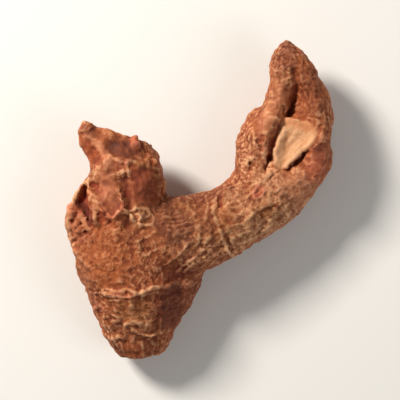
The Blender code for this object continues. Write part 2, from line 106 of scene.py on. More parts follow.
# The rim of the broken crown, its upturned corner, the torn strip of bark and the thin skin behind it.
CROWN_RIM = (
    (-21.9, 12.8, 12.4, 1.6, 1.6),
    (-18.8, 12.1, 12.2, 1.6, 1.9),
    (-15.4, 11.0, 12.0, 1.7, 2.2),
    (-12.9, 10.3, 11.8, 1.6, 2.2),
    (-10.9, 8.4, 11.4, 1.2, 2.0),
    (-8.5, 6.8, 11.0, 1.4, 1.9),
)
CROWN_CORNER = (
    (-15.0, 5.5, 10.0, 4.0, 3.8),
    (-17.6, 8.2, 10.6, 3.8, 3.4),
    (-19.9, 10.8, 11.6, 2.6, 2.5),
    (-21.6, 12.8, 12.5, 1.9, 1.8),
    (-22.4, 13.8, 12.8, 0.8, 0.8),
)
TORN_STRIP = (
    (-19.4, -12.5, 9.0, 2.8, 3.2),
    (-21.7, -8.8, 9.7, 2.5, 3.3),
    (-23.4, -5.6, 10.6, 1.9, 3.1),
    (-24.3, -3.0, 11.5, 1.3, 2.4),
    (-24.7, -1.1, 12.2, 0.7, 1.2),
)
THIN_SKIN = (
    (-24.5, -2.0, 10.4, 0.7, 2.0),
    (-23.7, 0.2, 10.0, 0.6, 2.4),
    (-22.2, 2.6, 9.8, 0.6, 2.4),
    (-20.4, 4.8, 9.8, 0.8, 2.2),
)
# Round knobs on the crown's rim and on the torn strip: x, y, z, radius.
KNOBS = (
    (-12.5, 11.2, 13.2, 1.1),
    (-12.3, 10.1, 13.7, 1.3),
    (-9.9, 8.0, 12.9, 1.0),
    (-9.1, 7.2, 12.6, 1.0),
    (-21.3, 13.2, 13.4, 1.45),
    (-20.3, 8.3, 10.4, 1.1),
    (-24.4, -2.6, 13.0, 0.9),
    (-22.6, -5.6, 13.6, 0.8),
)

# Folds of the upper side: how high they stand (or how deep they cut), how wide they are, and where they run.
FOLDS = {
    "valley of the cut face": (-1.7, 2.4, (17.4, 19.5), (17.6, 16.5), (17.2, 12), (15.6, 7)),
    "left lip": (1.3, 1.9, (15, 24), (15.2, 22), (14.8, 19.6), (13.5, 16.9), (12.1, 14), (11.2, 10.6)),
    "left shoulder": (0.7, 1.5, (9.6, 12.4), (9, 9), (8.6, 6), (9.5, 2.4)),
    "furrow left of the lip": (-0.8, 0.6, (11.3, 16.4), (10.7, 14.6), (10.9, 12.4), (11.5, 9.8)),
    "right lobe": (1, 1.9, (18.2, 26.1), (20.4, 20.6), (22.5, 14.1), (22.6, 9), (20.6, 3.9)),
    "end of the cleft": (-0.9, 0.55, (17.2, 24), (17.6, 21.8), (17.3, 19.3)),
    "cleft": (-2.3, 0.55, (17.2, 18.8), (16.9, 17.4), (16.4, 16.2)),
    "cleft's widest part": (-0.8, 0.7, (17.2, 17.6), (16.9, 16.4)),
    "cleft beside the flap": (-1.4, 0.6, (16.4, 16.2), (15, 14.2), (13.9, 12.2), (13.1, 10.1), (12.7, 7.8)),
    "cleft's lower end": (-1.4, 0.5, (12.7, 7.8), (11.9, 5.4)),
    "slit beside the flap": (-2, 0.45, (16.3, 5.7), (17.9, 7.2), (19.4, 9)),
    "rise beside the flap": (1.1, 0.8, (20.3, 9.6), (21.6, 11.6)),
    "slit's widest part": (-1.1, 0.7, (18.2, 7.2), (19, 8.2)),
    "hollow behind the strip": (-2.2, 1, (-20.9, -3.4), (-21.6, -0.8), (-21.7, 1.6)),
    "fold from the crown's corner": (0.7, 0.9, (-21, 12.2), (-18.2, 9.2), (-17, 6.6)),
    "broad fold of the neck": (1.5, 2.4, (-18.4, 5), (-18, 3), (-17.3, 0.8)),
    "furrow across the neck": (-1.2, 0.45, (-20.4, 4.2), (-19.3, 2), (-18.7, 1.2)),
    "left strand of the neck": (1.3, 0.7, (-20.9, 3), (-20, 0.8), (-19.7, -2.2), (-19.5, -3.8)),
    "right strand of the neck": (0.8, 0.6, (-15.2, 1.6), (-14.5, 0), (-14.3, -2.4)),
    "scallop below the neck": (
        1, 0.45, (-18.8, -0.8), (-18.3, -2.2), (-17.2, -3.2), (-16.1, -3.3), (-15.1, -2),
    ),
    "left tip of the scallop": (0.9, 0.35, (-18, -2.6), (-17.5, -4.2)),
    "right tip of the scallop": (0.6, 0.35, (-15.4, -2.4), (-16.1, -4.2)),
    "first tip of the left strand": (0.9, 0.3, (-20, -3.4), (-20.1, -4.6)),
    "second tip of the left strand": (0.9, 0.3, (-19.4, -3.6), (-19.4, -4.8)),
    "third tip of the left strand": (0.8, 0.3, (-18.9, -3), (-18.8, -4.4)),
    "end of the right strand": (0.6, 0.8, (-14.8, -2.8), (-15, -4)),
    "low swell below the neck": (0.4, 1.3, (-15.9, -5.6), (-15.7, -6.6)),
    "gap left of the scallop": (-0.7, 0.4, (-18.6, -2.8), (-18.3, -4)),
    "gap within the scallop": (-0.5, 0.35, (-16.9, -3.9), (-16.8, -4.3)),
    "gap left of the bud": (-0.3, 0.35, (-14.1, -2.4), (-14, -3.4), (-13.7, -4.8)),
    "furrow right of the neck": (-0.6, 0.6, (-14.3, 3.8), (-13.6, 1), (-13.5, -1.2)),
    "hollow above the arm": (-0.8, 1.8, (-8.4, 0.6), (-5, -0.8), (0, -0.6)),
    "upper groove of the arm's ring": (-0.8, 0.4, (3.5, 0.6), (3.2, -1.4)),
    "lower groove of the arm's ring": (-0.9, 0.4, (4.7, -7.3), (5.8, -9.6)),
    "slit on the left lobe": (-0.9, 0.35, (9.5, 7), (9.2, 5.4)),
    "second slit on the left lobe": (-0.7, 0.3, (13.4, 5), (12.6, 3.9)),
    "rolled wrinkle of the stub": (
        0.6, 0.5, (-13, -24.5), (-11.5, -24.9), (-9.6, -25.4), (-8, -24.9), (-7.6, -22.4),
    ),
    "upper wrinkle of the stub": (0.4, 0.4, (-14.2, -23.1), (-12.7, -22.5), (-10.3, -23.1), (-9.1, -22.2)),
}
# Scars of roots and buds: x, y, radius, height of the rim, depth inside it, and 1 for above or -1 for below.
SCARS = {
    "bud on the stem": (-11.1, -3.1, 1.9, 0.0, 0.2, 1),
    "root by the stem's ring": (-18.9, -20.8, 1.1, 0.1, 0.15, 1),
    "rotten spot at the elbow": (12.4, -2.6, 1.4, 0.15, 0.12, 1),
    "pink spot of the left lobe": (10.5, 1.4, 1.0, 0.2, 0.08, 1),
    "first pit of the strip": (-24.0, -4.0, 0.6, 0.1, 0.8, 1),
    "second pit of the strip": (-22.4, -4.3, 0.5, 0.1, 0.7, 1),
    "third pit of the strip": (-21.7, -6.0, 0.5, 0.1, 0.7, 1),
    "fourth pit of the strip": (-24.0, -7.7, 0.6, 0.1, 0.8, 1),
    "fifth pit of the strip": (-20.8, -4.8, 0.5, 0.1, 0.5, 1),
    "first root of the stem": (-13.2, 4.6, 1.3, 0.5, 0.7, -1),
    "second root of the stem": (-17.8, -9.4, 1.5, 0.5, 0.8, -1),
    "third root of the stem": (-9.8, -13.6, 1.2, 0.45, 0.7, -1),
    "root below the stub": (-13.6, -26.0, 1.0, 0.4, 0.6, -1),
    "first root of the arm": (-1.6, -8.4, 1.4, 0.5, 0.7, -1),
    "second root of the arm": (7.6, -3.8, 1.2, 0.45, 0.7, -1),
    "root below the head": (19.6, 12.6, 1.1, 0.4, 0.6, -1),
}
# In radii: how far a scar's edge wavers, how wide its rim and bowl are. Its stump's height, in depths.
SCAR_WAVER = 0.35
SCAR_RIM = 0.3
SCAR_BOWL = 0.75
SCAR_STUMP = 0.35
# Leaf scars that run round a limb: where they cross its middle, how high they stand, how far they lean.
STEM_RINGS = ((-14.2, 6.6, 0.12, 0.0), (-12.4, -15.5, 0.3, 1.3), (-11.2, -24.4, 0.3, 0.0))
ARM_RINGS = ((3.9, -4.6, 0.15, 0.0), (12.0, 1.6, 0.2, 0.0))
# How far they sway, how often they sway and turn lumpy on the way round, and the waist that they lie in.
RING_SWAY = 0.5
RING_SWAYS = 2.2
RING_LUMPS = 5.0
RING_WIDTH = 0.6
WAIST_WIDTH = 2.6
WAIST_DEPTH = 0.45
# How sharply one limb's rings and wrinkles give way to the other's, and how sharp the crests are.
LIMB_BORDER = 8
CREST = 2.4
# Swells of the body, as height and spacing, and how far the whole skin has shrunk.
SWELLS = ((0.4, 6.5), (0.26, 3.0))
SHRINKAGE = 0.15
# Wrinkles along and across a limb: how often they come round it, how long they run, and their heights.
LENGTHWISE = (4.7, 5.5)
CROSSWISE = (1.6, 1.0)
STEM_WRINKLES = (0.09, 0.05)
ARM_WRINKLES = (0.08, 0.06)
# The skin's grains: height and spacing. The waves that bend wrinkles and grains: how far, and their spacing.
GRAIN = (0.06, 1.5)
BEND = (0.5, 3.1)
# How far and at what spacing everything is pushed about sideways, so that nothing runs straight.
JITTER = (0.22, 1.3)
# The pale flap of inner tissue that stands in the cut face: x, y and z of its corners, and its thickness.
FLAP = (
    (15.4, 15.5, 11.7),
    (17.8, 15.1, 12.3),
    (20.0, 14.4, 12.5),
    (21.9, 12.9, 12.5),
    (20.3, 9.9, 12.2),
    (17.5, 7.7, 11.9),
    (15.2, 5.4, 11.6),
    (13.4, 6.7, 11.3),
    (13.3, 8.6, 11.2),
    (14.2, 12.0, 11.4),
)
FLAP_THICKNESS = 2.4
# The direction that its fibres run in, and how many times longer they are than wide.
FLAP_COURSE = 0.84
FIBRE_LENGTH = 7.0
# The flap's mask: how wide its edge is, how far it reaches down, where it ends at the right and how softly.
FLAP_EDGE = 0.5
FLAP_REACH = 1.4
FLAP_END = 22.0
FLAP_FADE = 1.4
# The hollow torn into the crown's far end: x and z of its middle, its half width and half height, its depth.
CROWN_END = (-15.0, 9.6, 5.6, 3.0, 2.8)
# The y beyond which the crown is torn. The torn fibres: how unevenly they end, and how closely they stand.
CROWN_START = 5.0
FIBRE_REACH = 1.3
FIBRE_SPACING = (0.9, 0.12, 0.9)
# Everything below this height is pressed flat, and so is what then lies this close to the ground.
GROUND = 0.32
FLAT_SPOTS = 0.15
# How sharply the upper side's marks fade where the skin turns away from above.
UPPER_SIDE = 2.2

# Fine wrinkles and edges that only the fine mesh can hold, given as the folds are.
CREASES = {
    "ring of the stem": (
        0.6, 0.34, (-18.3, -16.8), (-16.9, -17.8), (-14.5, -18), (-13, -17.7), (-10.9, -17.1),
    ),
    "right end of the ring": (0.5, 0.32, (-10.9, -17.1), (-9.1, -16.2), (-6.6, -16.2), (-4.4, -15.4)),
    "upper line of the ring": (0.35, 0.28, (-18, -16.4), (-15.7, -16.9), (-13.3, -16.7), (-12.4, -17.2)),
    "lower line of the ring": (0.3, 0.28, (-11.2, -17.8), (-9.1, -17.2), (-6.9, -17.3)),
    "drip below the ring": (0.35, 0.3, (-13.2, -17.9), (-13.3, -18.9), (-12.7, -19.8)),
    "second drip below the ring": (0.3, 0.3, (-12.5, -18), (-12.9, -19), (-13.5, -19.9)),
    "ring of the arm": (
        0.65, 0.34, (2.1, -1.6), (2.4, -3.1), (3.2, -5.2), (3.8, -6.8), (4.8, -9.6), (6.1, -10.6),
    ),
    "line beside the arm's ring": (0.3, 0.3, (5.6, -7.6), (6.2, -9.2), (6.6, -10.2)),
    "upper end of the arm's ring": (0.35, 0.4, (3, 1), (2.3, -0.4), (2.1, -1.6)),
    "ring of the crown": (0.4, 0.5, (-17.2, 8.2), (-14.9, 6.9), (-12.9, 7.1), (-10.9, 6.5), (-8.3, 5.6)),
    "first tooth of the crown": (0.18, 0.24, (-15.9, 6.6), (-15.5, 4.9)),
    "second tooth of the crown": (0.18, 0.24, (-14.7, 6.2), (-14.4, 4.6)),
    "third tooth of the crown": (0.25, 0.24, (-14, 5.4), (-13.8, 6.2), (-13.3, 4.3)),
    "strand below the neck": (
        0.3, 0.28,
        (-18.7, -0.5), (-17.5, -2.1), (-16.6, -3.5), (-15.8, -2.9), (-14.7, -1.7), (-14.9, 0),
    ),
    "fold beside the hollow": (-0.4, 0.45, (-21.6, -1.2), (-20.8, -2.8), (-20.4, -4.2)),
    "edge of the bud": (
        0.45, 0.26,
        (-13.6, -2.2), (-11.9, -1.5), (-10.1, -1.6), (-8.8, -3.2),
        (-9.2, -4.6), (-11.2, -4.7), (-12.5, -3.6), (-13.6, -2.2),
    ),
    "left fold in the bud": (0.35, 0.24, (-12.2, -2.5), (-11.3, -2.6), (-11, -3.4), (-11.6, -3.9)),
    "right fold in the bud": (0.35, 0.24, (-10.6, -2.4), (-10.2, -3.1), (-9.6, -2.9), (-9.5, -2.2)),
    "wrinkle below the bud": (0.35, 0.35, (-11.6, -7.5), (-10.5, -6.9), (-9.4, -6.6), (-8.7, -5.9)),
    "first wrinkle along the arm": (0.3, 0.26, (-7, -3.2), (-5.2, -3.2), (-3.7, -3.1)),
    "second wrinkle along the arm": (0.28, 0.26, (-7, -4), (-5.2, -4), (-3.4, -3.8)),
    "third wrinkle along the arm": (0.32, 0.26, (-6.3, -4.8), (-4.8, -4.9), (-3.2, -4.4), (-2.2, -3.4)),
    "fourth wrinkle along the arm": (0.28, 0.26, (-6.1, -5.6), (-4.6, -5.7), (-3, -5.2)),
    "fifth wrinkle along the arm": (0.28, 0.26, (-5.2, -6.5), (-3.8, -6.4), (-2.4, -5.7)),
    "wrinkle down the arm's top": (0.3, 0.3, (-2.7, 0.9), (-2.6, -0.4), (-2.6, -1.7)),
    "first wrinkle round the arm": (0.2, 0.3, (-2, -1.4), (-1.2, -4.2), (-0.4, -7), (-1, -8.6)),
    "second wrinkle round the arm": (0.3, 0.3, (0.8, 0.8), (1.2, -1.6), (0.6, -3.4)),
    "third wrinkle round the arm": (0.25, 0.3, (-4.4, 0.6), (-4, -1), (-4.6, -2.4)),
    "loop on the arm": (0.3, 0.3, (-0.8, -5.2), (0.3, -4.7), (1.3, -5.6), (1.5, -7), (0.6, -7.8)),
    "first slant below the arm": (0.35, 0.35, (-4.9, -13.7), (-3.2, -12.2), (-1.4, -10.6), (1.2, -8.6)),
    "second slant below the arm": (0.3, 0.3, (-3.4, -13.4), (-1.6, -11.8), (0.4, -10.8)),
    "third slant below the arm": (0.3, 0.3, (-6.6, -12), (-4.8, -10.6), (-3.4, -9.4), (-2.6, -8)),
    "fork beside the neck": (0.35, 0.28, (-8.1, 1.1), (-7, -0.2), (-5.9, 1.3)),
    "tick above the stem's ring": (0.3, 0.35, (-7.7, -12.8), (-7.1, -14.6)),
    "first wrinkle by the elbow": (0.25, 0.35, (5.6, -7.2), (8.2, -6), (10.4, -5)),
    "second wrinkle by the elbow": (0.25, 0.35, (5.4, -4.9), (8, -4), (10, -2.2)),
    "third wrinkle by the elbow": (0.25, 0.35, (7.4, -8.4), (10.4, -6.6), (13.2, -4.6)),
    "first lump of the strip": (0.7, 0.45, (-25, -1.5), (-24.2, -2.4)),
    "second lump of the strip": (0.7, 0.45, (-23.6, -2.2), (-22.6, -2.8), (-22, -3.6)),
    "third lump of the strip": (0.6, 0.4, (-21.5, -3.8), (-21.2, -5.4)),
    "fourth lump of the strip": (0.6, 0.45, (-24.6, -5.2), (-23.6, -5.8), (-23.4, -6.8)),
    "fifth lump of the strip": (0.6, 0.35, (-23.2, -3.4), (-23.1, -5.2)),
    "notch below the neck": (-0.35, 0.4, (-14.3, -7.2), (-13.4, -8.2)),
    "groove below the neck": (-0.35, 0.35, (-12.9, -8.2), (-12.6, -10.8)),
    "spur on the stub": (0.35, 0.3, (-10.9, -21.4), (-10, -22.8)),
    "groove below the rolled wrinkle": (-0.35, 0.4, (-13.6, -25.2), (-11.2, -25.9), (-8.6, -26.2)),
    "side fold on the stub": (0.4, 0.4, (-18.5, -22.4), (-17.2, -24.9), (-16, -27.2)),
    "first mark on the stub": (0.2, 0.3, (-12.7, -26.2), (-12.9, -27.6)),
    "second mark on the stub": (0.2, 0.3, (-11.2, -26.8), (-11, -28)),
    "third mark on the stub": (0.2, 0.3, (-9.2, -26.2), (-8.9, -27.2)),
    "curl by the stem's ring": (
        0.4, 0.35, (-20.2, -20.7), (-19.8, -20.1), (-18.7, -19.9), (-18.1, -20.7), (-18.4, -22),
    ),
    "upper edge of the flap": (0.22, 0.4, (13.8, 9.4), (14.6, 11.8), (15.9, 15.2), (17.8, 14.9)),
    "lower edge of the flap": (0.25, 0.4, (21.4, 12.3), (19.9, 10.2), (17.7, 8.2), (15.7, 6)),
    "long crease of the flap": (-0.2, 0.5, (20.6, 13.2), (18, 11.6), (16.2, 9.6), (15.4, 7.4)),
    "short crease of the flap": (-0.15, 0.4, (17.6, 14.4), (16.8, 12.4), (15.4, 10.8)),
    "upper edge of the rotten spot": (-0.45, 0.32, (10.8, -2.4), (12, -1.8), (13.6, -1.2)),
    "lower edge of the rotten spot": (-0.4, 0.32, (11, -2.6), (12.2, -4.3)),
    "curl beside the flap": (0.45, 0.4, (12.9, 6.6), (12.4, 5.6), (12.9, 4.8), (13.6, 5.4)),
}
CREASE_SWAY = 0.35

# Threads of the skin: their height, and how far apart and how sharp the wide and the narrow curls are.
THREAD_HEIGHT = 0.13
THREAD_GAPS = (1.5, 0.9)
THREAD_EDGES = (3.8, 3.2)
NARROW_CURLS = 0.6
# The spacing of the waves that bend them and of those that thin them out, and how far they bend.
CURL_WAVES = 2.1
THINNING_WAVES = 3.4
CURL_BEND = 0.85
# Lines along the right lobe and the flanks: how often they come round, how long they run, how far they bend.
LOBE_LINES = 5.5
LINE_LENGTH = 2.4
LINE_EDGE = 3.2
LINE_BEND = 0.6
LOBE_START = 16.5
# Lumps, grains and pits of the skin: how high or deep they are, and how far apart.
LUMP_HEIGHT = 0.13
LUMP_GAP = 1.7
GRAIN_HEIGHT = 0.06
GRAIN_GAP = 0.7
PIT_DEPTH = 0.32
PIT_GAP = 0.8
# How grainy the creases are.
CREASE_GRAIN = 0.45
# How much calmer the fine skin is in smooth places, the relief on the flap, and the fine skin on the flanks.
SMOOTH_CALM = 0.85
FLAP_CALM = 0.7
FLANK_CALM = 0.4
# How much higher the leaf scars stand on the flanks.
FLANK_RINGS = 1.3
# Smoothing passes that part the fine relief, and the broad hollows, from what is round them.
FINE_AROUND = 8
BROAD_AROUND = 90

# Where the skin differs: the half width and strength of each ragged patch, and the line it runs along. Pitted
# ones change only the shape. Dark patches are partly painted shade, pale and pink ones partly painted
# highlight.
PATCHES = {
    "smooth": (
        (2.6, 1, (-10.9, 4.6), (-10.6, 0.8)),
        (2, 0.9, (-17.6, 4.2), (-17.4, -0.6)),
        (1.6, 0.9, (-21, 9.9), (-19.6, 8)),
        (2.6, 0.9, (-21.6, 12.8), (-18.6, 10.6), (-14.2, 9.8)),
        (2.1, 0.95, (15.8, 22), (14.8, 19.2), (13.3, 16.2), (11.8, 13.6)),
        (1.3, 0.7, (22.2, 10.6), (21.6, 6.2)),
        (1.5, 0.7, (-13.6, -28.2), (-9.4, -28.2)),
    ),
    # Partly paler skin, partly painted highlight on edges and on slopes turned from the light.
    "pale": (
        (2.2, 0.45, (-18.6, 4.2), (-17.4, 0.8)),
        (0.8, 0.7, (-19.8, 0), (-19.6, -3)),
        (0.45, 1.2, (-25.2, -2.4), (-25, -6), (-24.3, -9.4)),
        (3, 0.3, (10.8, 11.5), (9.6, 5)),
        (2, 0.6, (15.6, 22), (14.6, 19.2), (13.1, 16.2), (11.6, 13.6)),
        (0.5, 0.5, (-25, -1.4), (-24.3, -2.6)),
        (0.5, 0.5, (-23.5, -2.2), (-22.2, -3.2)),
        (3.2, 1.35, (12, 2.4), (18.5, 1.4)),
        (2.2, 1, (5.8, -7.6), (9.5, -6.6), (13.5, -4.8), (17.5, -1)),
        (0.8, 0.7, (-21, 12.4), (-18.2, 9.4), (-16.9, 6.6)),
        (2, 0.9, (-11.8, -3), (-10.4, -3.2)),
        (1.2, 0.2, (21, 6.6), (22.8, 11)),
        (0.9, 0.2, (-22.6, -10.5), (-21, -15.5)),
        (2.6, 0.7, (6.5, 0), (9.6, -2.6)),
        (0.8, 0.25, (-18.2, -16.9), (-16, -18), (-12.1, -18), (-8.2, -16.3), (-3.6, -15.7)),
        (0.35, 0.25, (3, 1), (2.1, -1.6), (3.2, -5.2), (4.8, -9.6), (6.1, -10.6)),
        (0.6, 1.5, (-19.9, 5.1), (-21.8, 2.8), (-23.3, 0.5), (-24.6, -1.6)),
        (0.8, 0.7, (25.4, 16.5), (25.4, 11.5)),
        (1.3, 0.7, (13, -6.4), (17.6, -2.8), (21.2, 2)),
        (2.8, 0.45, (-4, -8.8), (2, -9.4)),
        (3, 0.35, (-13.6, -23.6), (-9.6, -24)),
    ),
    "pitted": (
        (2.6, 1, (15.9, 28.5), (16.2, 25), (16, 22.4)),
        (2.2, 0.9, (19.4, 24.4), (22.2, 16)),
        (2.4, 0.7, (9.6, 10.5), (9, 3), (15, 1.2)),
        (2.2, 0.9, (-24, -3), (-21.4, -8.6)),
    ),
    "ochre": (
        (5, 0.9, (-18.6, -7), (-17, -11.5)),
        (1.1, 0.8, (-9.4, 8.2), (-8.2, 7.4)),
        (0.8, 0.9, (-12.5, 12.2), (-11.7, 12)),
        (2.2, 0.8, (20, 24.5), (21.5, 18)),
        (0.9, 0.5, (9.6, 14.6), (9.4, 12.6)),
        (1.9, 0.7, (-24, -3.6), (-22.4, -7.4)),
        (1.3, 0.9, (15.2, 15.4), (17.6, 14.8), (20.2, 13.8)),
        (1.2, 0.8, (12.2, -2.8), (13.4, -2.2)),
        (1.1, 0.6, (23.2, 14.5), (23.6, 10)),
    ),
    "red": (
        (2.2, 0.7, (22.4, 9), (20.6, 3.4)),
        (0.9, 1.2, (-21.8, 1.4), (-21.6, -0.8), (-20.6, -3.6)),
        (2.4, 1, (-10.9, 4.4), (-10.2, 0.8)),
        (1.5, 0.8, (-21.2, 9.8), (-19.6, 8)),
        (3.2, 0.8, (-5.4, -15), (-6, -21)),
        (0.9, 0.9, (11.1, 15.6), (10.7, 14), (11, 12), (11.8, 9.4)),
        (0.9, 0.8, (-18.4, -3), (-16.8, -4)),
        (1, 1, (10.2, 1.1), (10.8, 1.9)),
        (1, 0.5, (-12.6, 11), (-12.3, 9.8)),
        (0.5, 0.6, (-13.9, -2.4), (-13.5, -5)),
    ),
    # Partly pinker skin, partly painted highlight on the knob and the lobe's lower side.
    "pink": (
        (1, 1.7, (10.2, 1.1), (10.7, 1.9)),
        (0.9, 1, (-12.6, 11), (-12.3, 9.8)),
        (0.9, 1, (-24.8, -1.2), (-22.8, -2.6)),
        (0.8, 0.6, (-23.4, -4.8), (-22.4, -7.6)),
        (1, 0.6, (-21, 12.4), (-18.2, 9.4), (-16.9, 6.6), (-14, 6.8)),
        (0.6, 0.8, (-18.7, -0.5), (-17.5, -2.1), (-16.6, -3.5), (-15.8, -2.9), (-14.8, -1)),
        (0.8, 0.8, (-19.8, -20.2), (-18.5, -20.6)),
        (0.9, 0.6, (-16.6, -17.6), (-12.4, -18.2)),
        (1.8, 0.7, (21.8, 8.6), (20.6, 4.2)),
        (2.6, 0.5, (14, 3), (18.6, 1.6)),
        (1.2, 0.4, (15.4, 20.6), (13.6, 16.8), (12.2, 14.6)),
        (1.8, 0.6, (-18, 3), (-17, -1.6)),
    ),
    "olive": (
        (1.3, 0.9, (11.7, -2.6), (13.4, -2.6)),
        (2.4, 0.5, (7, -6), (11.5, -3.8)),
        (4.6, 0.45, (-8, -3.2), (3.6, -4.4)),
        (1.8, 0.8, (-7, -1), (-3, -1.6)),
        (2.4, 0.6, (-13.6, -20), (-11, -20.6)),
        (0.8, 0.8, (-8.6, 5.2), (-7.8, 2.4)),
        (0.6, 0.8, (-11.6, 6.8), (-10.6, 6.6)),
    ),
    # Partly darker skin, partly painted shade on sides turned from the light and in hollows.
    "dark": (
        (3.8, 0.8, (-6.5, -3.2), (-4.4, -5.4)),
        (1.2, 0.5, (-21.8, 13.2), (-20.8, 12.4)),
        (2, 0.4, (0.4, -0.6), (0.8, -4.6)),
        (1.7, 0.6, (-5, 0.4), (0.6, 0.2), (4.6, 1.6)),
        (2.6, 0.9, (-5.4, -17.6), (-5.8, -22)),
        (2.6, 0.3, (-4.2, -12.6), (-5, -16)),
        (2, 1, (-16.2, 9.8), (-13.6, 9)),
        (1.7, 0.7, (19.4, 23.4), (21.2, 17.4)),
        (1.6, 0.8, (16, 29), (16.4, 25.6)),
        (2.2, 0.5, (-10.8, 4.4), (-10.4, 0.6)),
        (2, 0.45, (-23.4, -4), (-22, -6.4)),
        (1.1, 0.3, (-23.2, -10.4), (-21, -16), (-18.8, -21)),
        (2.2, 0.25, (-18.6, 4.2), (-17, -1.6)),
        (0.9, 1.2, (-22.6, -0.8), (-21.6, -2), (-20.7, -3.6)),
        (1.4, 0.4, (-15.4, -27.8), (-12, -28.8), (-8.4, -28)),
        (1.9, 0.5, (-1.2, -16), (-3.4, -22)),
        (1.2, 0.5, (14.5, 27), (14.3, 23.5)),
        (1.1, 0.5, (16.6, 7.4), (18.6, 9.4), (20.8, 11.8)),
    ),
}

# How far a patch's edge wavers, in half widths, and the spacing of the waves that it follows.
PATCH_WAVER = 0.35
PATCH_WAVES = 1.8

# Colours as red, green and blue out of 255; the shaded colours and the hollow colour are painted shade, and
# the ridge colours partly painted highlight.
VALLEY = (110, 33, 12)
HOLLOW_SHADE = (146, 26, 8)
DARK_SKIN = (108, 48, 23)
SKIN = (164, 88, 48)
RIDGE = (228, 168, 124)
PALE = (198, 128, 80)
PALE_RIDGE = (244, 188, 138)
OCHRE = (190, 98, 44)
RED = (156, 58, 36)
OLIVE = (138, 96, 42)
PINK = (216, 114, 82)
# Painted shade for the dark patches, from their hollows to their ridges.
SHADED = (60, 18, 5)
SHADED_RIDGE = (104, 42, 18)
INNER = (236, 186, 140)
INNER_SHADE = (202, 138, 92)
FLOOR = (232, 229, 224)
# The ramp of colours from the hollows to the ridges: the skin's own tones, with painted shade in the hollows
# and painted highlight on the ridges.
SKIN_AND_SHADE_RAMP = ((0.1, VALLEY), (0.36, DARK_SKIN), (0.62, SKIN), (1.0, RIDGE))
# How strongly the patches, the ochre hue, the dark clouds, the painted shade of the dark patches and the
# painted shade in the deep hollows colour the skin.
TINT_SHARE = 0.62
HUE_SHARE = 0.28
CLOUD_SHARE = 0.3
DARK_SHADE_SHARE = 0.75
DEEP_SHARE = 0.85
# How strongly the inner colour shows on the flap, and the ochre stains on it.
INNER_SHARE = 0.95
STAIN_SHARE = 0.5
# How much threads, speckles, dust and veins add to the skin's paleness, and how much smooth skin lacks.
THREAD_SHARE = 0.16
SPECKLE_SHARE = 0.34
DUST_SHARE = 0.16
VEIN_SHARE = 0.16
SMOOTH_SHARE = 0.7
# The scales of the material's noises, in waves to the metre.
HUE_SCALE = 180.0
CLOUD_SCALE = 330.0
VEIN_SCALE = 1500.0
FIBRE_SCALE = 1900.0
SPECKLE_SCALE = 2400.0
DUST_SCALE = 7000.0
# The depth in metres and the strength of the finest relief, which the material adds.
BUMP_DEPTH = 0.00012
BUMP_STRENGTH = 0.6

# In metres: the camera's height as it looks straight down, and the frame's width halfway up the piece.
CAMERA_HEIGHT = 0.42
FRAME_WIDTH = 0.075
MIDDLE = 0.009
SENSOR = 36.0
FLOOR_REACH = 3.0
# The lights: place and size in metres, power in watts, and colour.
LIGHTS = {
    "key": ((-0.29, 0.25, 0.28), 0.12, 3.22, (1.0, 0.96, 0.9)),
    "fill": ((0.35, -0.15, 0.3), 0.3, 0.6, (0.95, 0.97, 1.0)),
}
SURROUNDINGS = (1.0, 0.98, 0.95, 1)
SURROUNDINGS_STRENGTH = 0.22


def spline(stations, step):
    """Points of a smooth curve through the stations, about a step apart, with all columns carried along."""
    rows = np.array(stations, float)
    rows = np.vstack([2 * rows[0] - rows[1], rows, 2 * rows[-1] - rows[-2]])
    parts = []
    for a, b, c, d in zip(rows, rows[1:], rows[2:], rows[3:]):
        count = max(1, round(np.linalg.norm((c - b)[:3]) / step))
        t = (np.arange(count) / count)[:, None]
        parts.append(b + 0.5 * t * (c - a + t * (2 * a - 5 * b + 4 * c - d + t * (3 * b - a - 3 * c + d))))
    return np.vstack([*parts, rows[-2:-1]])


def held(values):
    """The values held between 0 and 1."""
    return np.clip(values, 0, 1)


def unit(vectors):
    return vectors / np.linalg.norm(vectors, axis=-1, keepdims=True)


class Noise:
    """Smooth random waves in space, about one unit apart, mostly between -1 and 1.

    A number added to the points reads the waves at another place, so that two uses don't match.
    """

    STRENGTH = 1.6

    def __init__(self, seed):
        random = np.random.default_rng(seed)
        self.order = random.permutation(256)
        self.slopes = unit(random.normal(size=(256, 3)))

    def at(self, points):
        cell = np.floor(points).astype(int)
        part = points - cell
        fade = part**3 * (part * (part * 6 - 15) + 10)
        total = np.zeros(len(points))
        for corner in itertools.product((0, 1), repeat=3):
            x, y, z = ((cell + corner) & 255).T
            slope = self.slopes[self.order[(self.order[(self.order[x] + y) & 255] + z) & 255]]
            weight = np.prod(np.where(corner, fade, 1 - fade), axis=1)
            total += weight * np.sum(slope * (part - corner), axis=1)
        return total * self.STRENGTH


